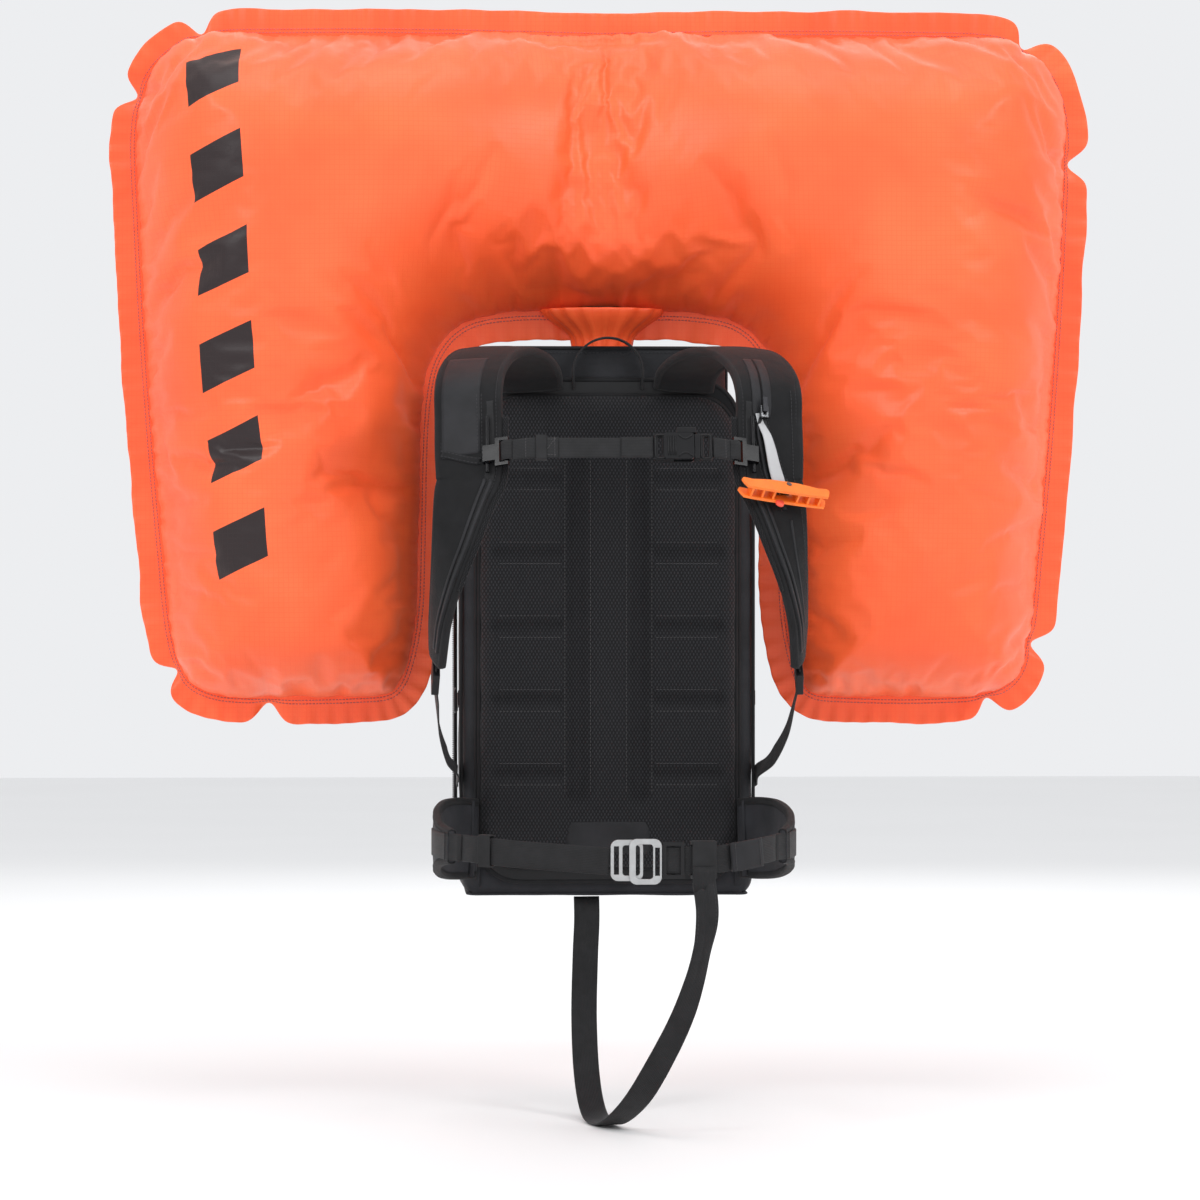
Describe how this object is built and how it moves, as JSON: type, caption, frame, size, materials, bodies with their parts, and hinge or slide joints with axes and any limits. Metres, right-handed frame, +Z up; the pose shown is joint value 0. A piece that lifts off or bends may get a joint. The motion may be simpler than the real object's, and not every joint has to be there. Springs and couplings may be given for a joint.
{
  "type": "avalanche airbag backpack",
  "caption": "Ski touring backpack with an inflated pillow airbag, padded harness, chest and hip belts, leg strap and a pull handle.",
  "frame": {"origin": "centre of the back pad's contact face, on the pack's middle plane", "axes": "-Y is the way the wearer faces and the outward normal of the back pad, +X is to the wearer's left, +Z is up"},
  "size_m": [0.984, 0.599, 1.0918],
  "materials": {
    "pad_foam": "brushed mesh over moulded foam",
    "frame_plastic": "extruded sheet",
    "light_alloy": "bead blasted, anodised",
    "zip_metal": "die cast, satin",
    "pack_fabric": "woven nylon",
    "webbing": "ribbed webbing",
    "airbag_fabric": "coated ripstop nylon",
    "black_plastic": "moulded acetal, fine grain",
    "cable_jacket": "extruded",
    "sleeve_fabric": "woven tube",
    "handle_plastic": "moulded, satin",
    "red_plastic": "moulded",
    "steel": "ground",
    "cartridge_alloy": "anodised, satin"
  },
  "bodies": {
    "pack": {"back_pad": "pad_foam", "frame_sheet": "frame_plastic", "back_stays": "light_alloy", "side_panel_left": "pack_fabric", "side_panel_right": "pack_fabric", "bottom_panel": "pack_fabric", "shelf_panel": "pack_fabric", "airbag_compartment": "pack_fabric", "burst_flap_left": "pack_fabric", "burst_flap_right": "pack_fabric", "haul_loop": "webbing", "airbag": "airbag_fabric", "port_collar": "black_plastic", "inflator_body": "black_plastic", "intake_grille": "black_plastic", "gauge_case": "zip_metal", "cartridge_strap": "webbing", "release_cable": "cable_jacket", "shoulder_strap_left": "pack_fabric", "shoulder_strap_right": "pack_fabric", "chest_rails": "webbing", "lower_webbing_left": "webbing", "lower_webbing_right": "webbing", "strap_adjusters": "black_plastic", "hip_fin_left": "pack_fabric", "hip_fin_right": "pack_fabric", "hip_webbing_left": "webbing", "hip_webbing_right": "webbing", "belt_keeper": "webbing", "hip_ring": "light_alloy", "leg_loop": "webbing", "leg_strap": "webbing", "trigger_zip": "pack_fabric"},
    "chest_strap": {"rail_clip_left": "black_plastic", "rail_clip_right": "black_plastic", "chest_webbing_left": "webbing", "chest_webbing_right": "webbing", "chest_keeper": "webbing", "chest_buckle_tongue": "black_plastic"},
    "chest_buckle": {"chest_buckle_body": "black_plastic", "whistle": "black_plastic"},
    "prong_top": {"prong_upper": "black_plastic"},
    "prong_bottom": {"prong_lower": "black_plastic"},
    "trigger": {"trigger_sleeve": "sleeve_fabric", "handle_pivot": "black_plastic"},
    "handle": {"trigger_handle": "handle_plastic"},
    "lever": {"release_lever": "red_plastic"},
    "pin": {"piercing_pin": "steel"},
    "button": {"deflate_button": "red_plastic"},
    "needle": {"gauge_needle": "red_plastic"},
    "gas_cartridge": {"cartridge": "cartridge_alloy"},
    "zip_slider": {"pocket_slider": "zip_metal"},
    "zip_puller": {"pocket_puller": "zip_metal"},
    "hook": {"hip_hook": "light_alloy"},
    "glide": {"tri_glide": "black_plastic"},
    "rear_flap": {"main_flap": "pack_fabric", "gear_pocket": "pack_fabric", "axe_loop": "webbing"},
    "flap_zip": {"flap_sliders": "zip_metal"}
  },
  "joints": [
    {"name": "rear_flap_hinge", "type": "hinge", "parent": "pack", "child": "rear_flap", "pos_m": [0, 0.2046, -0.2865], "axis": [-1, 0, 0], "range_deg": [0, 100]},
    {"name": "flap_zip_slide", "type": "slide", "parent": "pack", "child": "flap_zip", "axis": [0, 0, -1], "range_m": [0, 0.39]},
    {"name": "chest_strap_height", "type": "slide", "parent": "pack", "child": "chest_strap", "axis": [0, 0.3714, 0.9285], "range_m": [-0.007, 0.02]},
    {"name": "chest_buckle_release", "type": "slide", "parent": "chest_strap", "child": "chest_buckle", "axis": [-1, 0, 0], "range_m": [0, 0.025], "deforming": ["chest_webbing_left"]},
    {"name": "prong_upper_press", "type": "hinge", "parent": "chest_strap", "child": "prong_top", "pos_m": [0.0671, -0.26381, 0.14693], "axis": [0, -0.9285, 0.3714], "range_deg": [0, 6], "stiffness_Nm_per_rad": 0.02},
    {"name": "prong_lower_press", "type": "hinge", "parent": "chest_strap", "child": "prong_bottom", "pos_m": [0.0671, -0.26893, 0.13412], "axis": [0, -0.9285, 0.3714], "range_deg": [-6, 0], "stiffness_Nm_per_rad": 0.02},
    {"name": "trigger_pull", "type": "slide", "parent": "pack", "child": "trigger", "axis": [0.2114, -0.2904, -0.9333], "range_m": [0, 0.02], "deforming": ["trigger_sleeve"]},
    {"name": "handle_tip", "type": "hinge", "parent": "trigger", "child": "handle", "pos_m": [0.15004, -0.2592, 0.10143], "axis": [0.9397, 0.3176, -0.127], "range_deg": [-22, 28]},
    {"name": "release_lever_turn", "type": "hinge", "parent": "pack", "child": "lever", "pos_m": [0.03, 0.112, 0.208], "axis": [0, 0, 1], "range_deg": [0, 20]},
    {"name": "piercing_pin_slide", "type": "slide", "parent": "pack", "child": "pin", "axis": [0, 0, -1], "range_m": [0, 0.003]},
    {"name": "deflate_button_press", "type": "slide", "parent": "pack", "child": "button", "axis": [0, 1, 0], "range_m": [0, 0.004], "stiffness_N_per_m": 400},
    {"name": "gauge_needle_turn", "type": "hinge", "parent": "pack", "child": "needle", "pos_m": [0.03, 0.0713, 0.186], "axis": [0, 1, 0], "range_deg": [0, 270]},
    {"name": "cartridge_turn", "type": "hinge", "parent": "pack", "child": "gas_cartridge", "pos_m": [-0.066, 0.078, 0.05], "axis": [0, 0, 1], "continuous": true},
    {"name": "trigger_zip_slide", "type": "slide", "parent": "pack", "child": "zip_slider", "axis": [0, 0.3714, 0.9285], "range_m": [0, 0.015]},
    {"name": "zip_puller_swing", "type": "hinge", "parent": "zip_slider", "child": "zip_puller", "pos_m": [0.1356, -0.23422, 0.17549], "axis": [0.9397, 0.3176, -0.127], "range_deg": [0, 90]},
    {"name": "hip_hook_swing", "type": "hinge", "parent": "pack", "child": "hook", "pos_m": [0.033, -0.2686, -0.241], "axis": [0, 0, 1], "range_deg": [0, 35]},
    {"name": "tri_glide_slide", "type": "slide", "parent": "pack", "child": "glide", "axis": [1, 0, 0], "range_m": [0, 0.006]}
  ],
  "couplings": [
    {"joint": "prong_lower_press", "follows": "prong_upper_press", "ratio": -1},
    {"joint": "release_lever_turn", "follows": "trigger_pull", "rad_per_m": 17.436},
    {"joint": "piercing_pin_slide", "follows": "trigger_pull", "ratio": 0.149}
  ]
}
